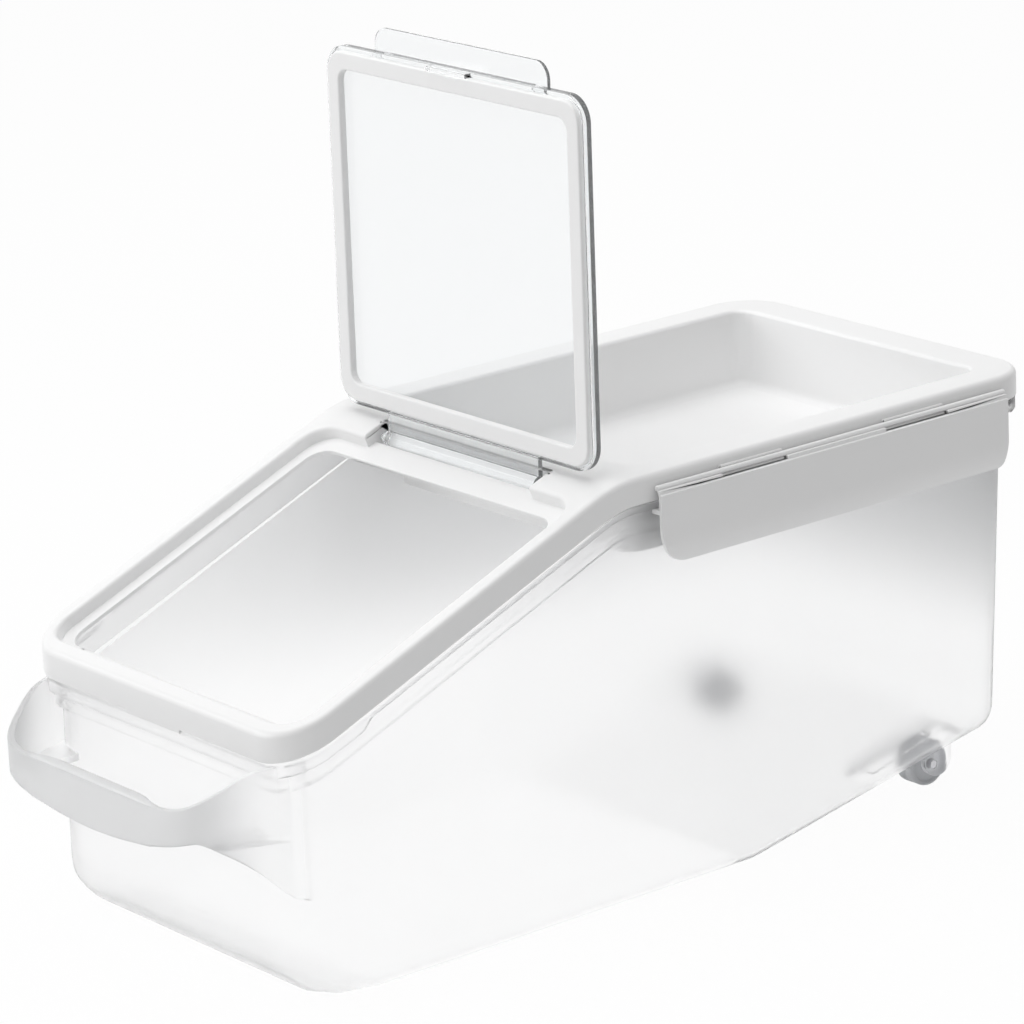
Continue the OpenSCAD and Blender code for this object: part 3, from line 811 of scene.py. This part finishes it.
def new_finish(name, colour):
    """A material and its node tree, with its colour in the solid view too."""
    material = bpy.data.materials.new(name)
    material.diffuse_color = (*colour, 1.0)
    return material, Graph(material)


def white_polypropylene(finish):
    """Glossy white polypropylene of the frame and latches, faintly rippled from its mould."""
    colour = tuple(finish.white_colour)
    material, graph = new_finish("white_polypropylene", colour)
    cloud = graph.noise(0.045, 3.0)
    flow = graph.noise(0.012, 2.0, (1.0, 0.35, 1.0))
    grain = graph.noise(0.0007, 2.0)
    graph.finish(
        graph.surface(
            {
                "Base Color": graph.tint(cloud, shade_of(colour, 0.014), shade_of(colour, -0.006)),
                "Roughness": finish.white_roughness - 0.05 + 0.08 * cloud + 0.03 * grain,
                "IOR": 1.49,
                "Normal": graph.relief(0.75 * flow + 0.25 * grain, 0.00004),
            }
        )
    )
    return material


def milky_polypropylene(finish):
    """Milky polypropylene of the body: part of the light goes through it, blurred; painted shade
    greys the handle and the upper inner walls.
    """
    colour = tuple(finish.milky_colour)
    material, graph = new_finish("milky_polypropylene", colour)
    cloud = graph.noise(0.06, 3.0)
    flow = graph.noise(0.02, 2.0, (1.0, 0.4, 1.6))
    grain = graph.noise(0.0009, 2.0)
    # Painted shade: the handle in front of the frame gets a darker base colour and less clearness,
    # standing in for the shade on its front face
    painted_handle_shade = (FRONT_Y * MM - graph.axis("Y")).within(0.0, 0.03)
    relief = graph.relief(0.7 * flow + 0.3 * grain, 0.00005)
    skin = graph.surface(
        {
            "Base Color": graph.tint(0.15 * cloud + 0.85 * painted_handle_shade, colour, shade_of(colour, 0.17)),
            "Roughness": finish.milky_roughness + 0.06 * (cloud - 0.5) + 0.03 * grain,
            "IOR": 1.49,
            "Normal": relief,
        }
    )
    depth = graph.surface(
        {
            "Base Color": (0.996, 0.996, 0.997, 1.0),
            "Roughness": 0.285 + 0.03 * cloud,
            "IOR": 1.13,
            "Transmission Weight": 1.0,
            "Normal": relief,
        }
    )
    # Painted shade: walls that face the middle, high up and towards the rear, are made more opaque
    # and grey, standing in for the shadow under the frame's tray
    painted_shade_inside = graph.facing_middle().within(0.01, 0.03) * graph.axis("Z").within(0.06, 0.15)
    painted_shade_inside = painted_shade_inside * (0.3 + 0.7 * graph.axis("Y").within(-0.15, 0.08))
    share = finish.milky_clearness - 0.03 + 0.06 * cloud - 0.45 * painted_handle_shade - 0.8 * painted_shade_inside
    graph.finish(graph.between(share, skin, depth))
    return material


def clear_polystyrene(finish):
    """Polished clear plastic of the lid, with the faintest haze and mould ripple."""
    colour = tuple(finish.lid_colour)
    material, graph = new_finish("clear_polystyrene", colour)
    cloud = graph.noise(0.05, 3.0)
    dust = graph.noise(0.0011, 3.0)
    clear = graph.surface(
        {
            "Base Color": graph.tint(cloud, shade_of(colour, 0.01), colour),
            "Roughness": finish.lid_roughness + 0.03 * (dust * cloud),
            "IOR": 1.3,
            "Transmission Weight": 1.0,
            "Normal": graph.relief(graph.noise(0.03, 1.0), 0.00003),
        }
    )
    haze = graph.surface({"Base Color": (0.92, 0.93, 0.94, 1.0), "Roughness": 0.4 + 0.1 * cloud})
    graph.finish(graph.between(finish.lid_haze + 0.02 * cloud, clear, haze))
    return material


def silicone_rubber(finish):
    """Soft white silicone of the two seals."""
    colour = tuple(finish.seal_colour)
    material, graph = new_finish("silicone_rubber", colour)
    cloud = graph.noise(0.02, 3.0)
    grain = graph.noise(0.0006, 3.0)
    graph.finish(
        graph.surface(
            {
                "Base Color": graph.tint(cloud, shade_of(colour, 0.02), colour),
                "Roughness": 0.46 + 0.08 * cloud + 0.04 * grain,
                "IOR": 1.42,
                "Normal": graph.relief(grain, 0.00003),
            }
        )
    )
    return material


def roller_nylon(finish):
    """Grey moulded nylon of the rollers, a little scuffed on the tread."""
    colour = tuple(finish.roller_colour)
    material, graph = new_finish("roller_nylon", colour)
    cloud = graph.noise(0.006, 3.0)
    scuff = graph.noise(0.0016, 4.0, (0.3, 1.0, 1.0))
    graph.finish(
        graph.surface(
            {
                "Base Color": graph.tint(cloud, shade_of(colour, 0.06), shade_of(colour, -0.03)),
                "Roughness": 0.42 + 0.14 * scuff.within(0.45, 0.7) + 0.05 * cloud,
                "IOR": 1.53,
                "Normal": graph.relief(scuff, 0.00004),
            }
        )
    )
    return material


def drawn_steel(finish):
    """Drawn steel of the axle pins, with fine lines along them."""
    colour = tuple(finish.steel_colour)
    material, graph = new_finish("drawn_steel", colour)
    lines = graph.noise(0.0008, 3.0, (0.05, 1.0, 1.0))
    graph.finish(
        graph.surface(
            {
                "Base Color": graph.tint(lines, shade_of(colour, 0.1), colour),
                "Metallic": 1.0,
                "Roughness": 0.25 + 0.15 * lines,
                "Normal": graph.relief(lines, 0.00001),
            }
        )
    )
    return material


def made_finish(maker):
    """A finish, made once from the settings of the scene."""
    return bpy.data.materials.get(maker.__name__) or maker(bpy.context.scene.rice_bin_finish)


def dress(obj, material):
    """Gives a piece one finish all over."""
    obj.data.materials.clear()
    obj.data.materials.append(material)


def dress_node(node, material):
    """Gives a CAD node its finish through its material slots."""
    for slot in NODES[node].material_slots:
        slot.material = material


def put_on(obj, body, node, material):
    """Finishes a piece that stands for a CAD node, and lets it ride on the node's body."""
    dress(obj, material)
    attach(obj, body)
    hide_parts(node)


# ---------------------------------------------------------------- studio


def studio_floor(studio):
    """Pale matt floor that is seen as nearly white, with the bin's soft shadow on it."""
    colour = tuple(studio.floor_colour)
    material, graph = new_finish("studio_floor", colour)
    cloud = graph.noise(0.4, 2.0)
    base = graph.tint(cloud, shade_of(colour, 0.02), colour)
    matt = graph.node("BsdfDiffuse", None, {"Color": base}).outputs[0]
    glow = graph.node("Emission", None, {"Color": (1, 1, 1, 1), "Strength": 1.0}).outputs[0]
    graph.finish(graph.between(graph.seen_directly() * studio.floor_glow, matt, glow))
    material.cycles.emission_sampling = "NONE"
    return material


def studio_sky(studio):
    """Even light from all round, with a backdrop that is seen as white."""
    world = bpy.data.worlds.new("studio_sky")
    world.cycles.sampling_method = "NONE"
    bpy.context.scene.world = world
    graph = Graph(world)
    light, white = (
        graph.node("Background", None, {"Color": (1, 1, 1, 1), "Strength": strength}).outputs[0]
        for strength in (studio.sky_light, 1.0)
    )
    graph.finish(graph.between(graph.seen_directly(), light, white), "OutputWorld")


def softbox(name, place, aim, width, height, brightness):
    """A rectangular lamp that faces a point; its brightness is that of its face."""
    data = bpy.data.lights.new(name, "AREA")
    data.shape = "RECTANGLE"
    data.size = width
    data.size_y = height
    data.energy = brightness * math.pi * width * height
    lamp = bpy.data.objects.new(name, data)
    lamp.location = place
    lamp.rotation_euler = (Vector(aim) - Vector(place)).to_track_quat("-Z", "Y").to_euler()
    bpy.context.scene.collection.objects.link(lamp)


def studio_camera(studio):
    """The camera, by its bearing round the bin, its height above the level and its roll."""
    bearing, height, roll = studio.camera_bearing, studio.camera_height, studio.camera_roll
    level = Vector((math.cos(bearing), math.sin(bearing), 0))
    away = Vector((math.sin(bearing), -math.cos(bearing), 0))
    back = away * math.cos(height) + Vector((0, 0, math.sin(height)))
    above = back.cross(level)
    right = level * math.cos(roll) + above * math.sin(roll)
    up = above * math.cos(roll) - level * math.sin(roll)
    data = bpy.data.cameras.new("studio_camera")
    data.sensor_width = 36
    data.lens = studio.camera_lens
    data.clip_end = 20
    camera = bpy.data.objects.new("studio_camera", data)
    turn = Matrix((right, up, back)).transposed().to_4x4()
    camera.matrix_world = Matrix.Translation(studio.camera_place) @ turn
    bpy.context.scene.collection.objects.link(camera)
    bpy.context.scene.camera = camera


def floor_sheet():
    """The floor, a wide sheet under the bin."""
    bm = bmesh.new()
    bmesh.ops.create_grid(bm, x_segments=8, y_segments=8, size=4.0)
    mesh = bpy.data.meshes.new("studio_floor")
    bm.to_mesh(mesh)
    bm.free()
    floor = bpy.data.objects.new("studio_floor", mesh)
    bpy.context.scene.collection.objects.link(floor)
    return floor


# ---------------------------------------------------------------- add-on


class RiceBinFinish(bpy.types.PropertyGroup):
    """Colours and gloss of the bin's plastics."""

    white_colour: FloatVectorProperty(
        name="White plastic",
        description="Colour of the frame and latches",
        default=(0.9, 0.9, 0.9),
        subtype="COLOR",
        min=0,
        max=1,
    )
    white_roughness: FloatProperty(
        name="White plastic roughness",
        description="How matt the frame and latches are",
        default=0.3,
        min=0.05,
        max=1,
        subtype="FACTOR",
    )
    milky_colour: FloatVectorProperty(
        name="Milky plastic",
        description="Colour of the body",
        default=(0.92, 0.925, 0.93),
        subtype="COLOR",
        min=0,
        max=1,
    )
    milky_roughness: FloatProperty(
        name="Milky plastic roughness",
        description="How matt the body is",
        default=0.34,
        min=0.05,
        max=1,
        subtype="FACTOR",
    )
    milky_clearness: FloatProperty(
        name="Milky plastic clearness",
        description="Share of the light that goes through the body's wall",
        default=0.965,
        min=0,
        max=1,
        subtype="FACTOR",
    )
    lid_colour: FloatVectorProperty(
        name="Lid",
        description="Tint of the clear lid",
        default=(0.965, 0.975, 0.98),
        subtype="COLOR",
        min=0,
        max=1,
    )
    lid_roughness: FloatProperty(
        name="Lid roughness",
        description="How blurred things look through the lid",
        default=0.02,
        min=0,
        max=0.5,
        subtype="FACTOR",
    )
    lid_haze: FloatProperty(
        name="Lid haze",
        description="Share of the lid's surface that scatters light",
        default=0.05,
        min=0,
        max=0.5,
        subtype="FACTOR",
    )
    seal_colour: FloatVectorProperty(
        name="Seals",
        description="Colour of the silicone seals",
        default=(0.9, 0.9, 0.9),
        subtype="COLOR",
        min=0,
        max=1,
    )
    roller_colour: FloatVectorProperty(
        name="Rollers",
        description="Colour of the nylon rollers",
        default=(0.6, 0.61, 0.63),
        subtype="COLOR",
        min=0,
        max=1,
    )
    steel_colour: FloatVectorProperty(
        name="Axle steel",
        description="Colour of the axle pins",
        default=(0.6, 0.6, 0.62),
        subtype="COLOR",
        min=0,
        max=1,
    )


class RiceBinRoundings(bpy.types.PropertyGroup):
    """Roundings of the smaller pieces' edges."""

    latch_edge: FloatProperty(
        name="Latch edges",
        description="Rounding of the latches' edges",
        default=0.0004,
        min=0.0001,
        max=0.0008,
        unit="LENGTH",
    )
    seal_edge: FloatProperty(
        name="Seal edges",
        description="Rounding of the lid seal's edges",
        default=0.0009,
        min=0.0002,
        max=0.0012,
        unit="LENGTH",
    )
    pin_edge: FloatProperty(
        name="Axle ends",
        description="Rounding of the axle pins' ends",
        default=0.0003,
        min=0.0001,
        max=0.0006,
        unit="LENGTH",
    )


class RiceBinStudio(bpy.types.PropertyGroup):
    """Light, floor and camera."""

    floor_colour: FloatVectorProperty(
        name="Floor",
        description="Colour of the floor under the lamps",
        default=(0.93, 0.93, 0.932),
        subtype="COLOR",
        min=0,
        max=1,
    )
    floor_glow: FloatProperty(
        name="Floor white",
        description="How far the floor is lifted to white for the camera",
        default=0.96,
        min=0,
        max=1,
        subtype="FACTOR",
    )
    sky_light: FloatProperty(
        name="Sky",
        description="Strength of the even light from all round",
        default=0.3,
        min=0,
        max=2,
    )
    top_light: FloatProperty(
        name="Top softbox",
        description="Brightness of the softbox over the bin",
        default=2.0,
        min=0,
        max=10,
    )
    front_light: FloatProperty(
        name="Front softbox",
        description="Brightness of the softbox in front of the bin",
        default=2.9,
        min=0,
        max=10,
    )
    side_light: FloatProperty(
        name="Side softbox",
        description="Brightness of the small softbox that the lid mirrors",
        default=3.0,
        min=0,
        max=10,
    )
    camera_bearing: FloatProperty(
        name="Camera bearing",
        description="Direction of the camera round the bin, from its front",
        default=math.radians(51.98),
        subtype="ANGLE",
        unit="ROTATION",
    )
    camera_height: FloatProperty(
        name="Camera height",
        description="Angle of the camera above the level",
        default=math.radians(16.88),
        subtype="ANGLE",
        unit="ROTATION",
    )
    camera_roll: FloatProperty(
        name="Camera roll",
        description="Tilt of the camera about its view",
        default=math.radians(-2.75),
        subtype="ANGLE",
        unit="ROTATION",
    )
    camera_place: FloatVectorProperty(
        name="Camera place",
        description="Where the camera stands",
        default=(1.7413, -1.3588, 0.832),
        subtype="TRANSLATION",
        unit="LENGTH",
    )
    camera_lens: FloatProperty(
        name="Camera lens",
        description="Focal length in millimetres",
        default=180.74,
        min=10,
        max=400,
    )


class MakeTopFrame(bpy.types.Operator):
    """Makes the white top frame with its moulded roundings"""

    bl_idname = "rice_bin.top_frame"
    bl_label = "Top Frame"

    def execute(self, context):
        material = made_finish(white_polypropylene)
        put_on(build_top_frame(), "bin", "top_frame", material)
        return {"FINISHED"}


class MakeBody(bpy.types.Operator):
    """Makes the milky body with its handle, wheel wells and rim"""

    bl_idname = "rice_bin.body"
    bl_label = "Body And Handle"

    def execute(self, context):
        body = new_object("body_shell", build_body())
        material = made_finish(milky_polypropylene)
        put_on(body, "bin", "bin_body", material)
        return {"FINISHED"}


class MakeLid(bpy.types.Operator):
    """Makes the clear flip lid with its flap, catch and hinge tongue"""

    bl_idname = "rice_bin.lid"
    bl_label = "Flip Lid"

    def execute(self, context):
        material = made_finish(clear_polystyrene)
        put_on(build_lid(), "lid", "flip_lid", material)
        return {"FINISHED"}


class MakeSeals(bpy.types.Operator):
    """Makes the lid's silicone ring and finishes the ring under the frame"""

    bl_idname = "rice_bin.seals"
    bl_label = "Seals"

    def execute(self, context):
        rounding = even_rounding(context.scene.rice_bin_roundings.seal_edge / MM)
        ring = softened("lid_gasket", "lid_seal", rounding, RING_CUTS)
        material = made_finish(silicone_rubber)
        put_on(ring, "lid", "lid_gasket", material)
        dress_node("frame_gasket", material)
        return {"FINISHED"}


class MakeLatches(bpy.types.Operator):
    """Makes the two side latches"""

    bl_idname = "rice_bin.latches"
    bl_label = "Side Latches"

    def execute(self, context):
        rounding = even_rounding(context.scene.rice_bin_roundings.latch_edge / MM)
        material = made_finish(white_polypropylene)
        cuts = [(1, y) for y in HOOK_Y]
        for side in ("left", "right"):
            latch = softened(f"latch_{side}", f"side_latch_{side}", rounding, cuts)
            put_on(latch, f"{side}_latch", f"latch_{side}", material)
        return {"FINISHED"}


class MakeRollers(bpy.types.Operator):
    """Makes the two rear rollers and their steel pins"""

    bl_idname = "rice_bin.rollers"
    bl_label = "Rollers"

    def execute(self, context):
        rounding = even_rounding(context.scene.rice_bin_roundings.pin_edge / MM)
        nylon = made_finish(roller_nylon)
        steel = made_finish(drawn_steel)
        for side, way in (("left", -1), ("right", 1)):
            wheel = new_object(f"roller_{side}", wheel_shape(way), 40)
            put_on(wheel, f"{side}_roller", f"wheel_{side}", nylon)
            pin = softened(f"axle_{side}", f"axle_pin_{side}", rounding, segments=2)
            put_on(pin, "bin", f"axle_{side}", steel)
        return {"FINISHED"}


class MakeStudio(bpy.types.Operator):
    """Sets the floor, the light and the camera"""

    bl_idname = "rice_bin.studio"
    bl_label = "Studio"

    def execute(self, context):
        studio = context.scene.rice_bin_studio
        floor = floor_sheet()
        dress(floor, studio_floor(studio))
        studio_sky(studio)
        softbox("top_softbox", (-0.15, -0.25, 2.0), (0, 0, 0.15), 2.2, 2.2, studio.top_light)
        softbox("front_softbox", (-1.3, -2.2, 0.9), (0, 0, 0.1), 1.4, 1.2, studio.front_light)
        lid_middle = Vector((0, -0.018, 0.29))
        place = lid_middle + Vector((-0.753, -0.589, 0.29)) * 1.5
        softbox("side_softbox", place, lid_middle, 0.3, 0.3, studio.side_light)
        studio_camera(studio)
        context.scene.view_settings.view_transform = "Standard"
        return {"FINISHED"}


class RiceBinPanel(bpy.types.Panel):
    """Lists the bin's pieces, finishes and studio"""

    bl_idname = "VIEW3D_PT_rice_bin"
    bl_label = "Rice Bin"
    bl_space_type = "VIEW_3D"
    bl_region_type = "UI"
    bl_category = "Rice Bin"

    def draw(self, context):
        layout = self.layout
        for maker in MAKERS:
            layout.operator(maker.bl_idname)
        for group in SETTINGS:
            box = layout.box()
            settings = getattr(context.scene, group)
            for name in settings.bl_rna.properties.keys():
                if name not in ("rna_type", "name"):
                    box.prop(settings, name)


MAKERS = (MakeTopFrame, MakeBody, MakeLid, MakeSeals, MakeLatches, MakeRollers, MakeStudio)
SETTINGS = {
    "rice_bin_finish": RiceBinFinish,
    "rice_bin_roundings": RiceBinRoundings,
    "rice_bin_studio": RiceBinStudio,
}


def register():
    for kind in (*SETTINGS.values(), *MAKERS, RiceBinPanel):
        bpy.utils.register_class(kind)
    for name, kind in SETTINGS.items():
        setattr(bpy.types.Scene, name, PointerProperty(type=kind))


def unregister():
    for name in SETTINGS:
        delattr(bpy.types.Scene, name)
    for kind in reversed((*SETTINGS.values(), *MAKERS, RiceBinPanel)):
        bpy.utils.unregister_class(kind)


def main():
    register()
    bpy.ops.rice_bin.top_frame()
    bpy.ops.rice_bin.body()
    bpy.ops.rice_bin.lid()
    bpy.ops.rice_bin.seals()
    bpy.ops.rice_bin.latches()
    bpy.ops.rice_bin.rollers()
    bpy.ops.rice_bin.studio()


if __name__ == "__main__":
    main()
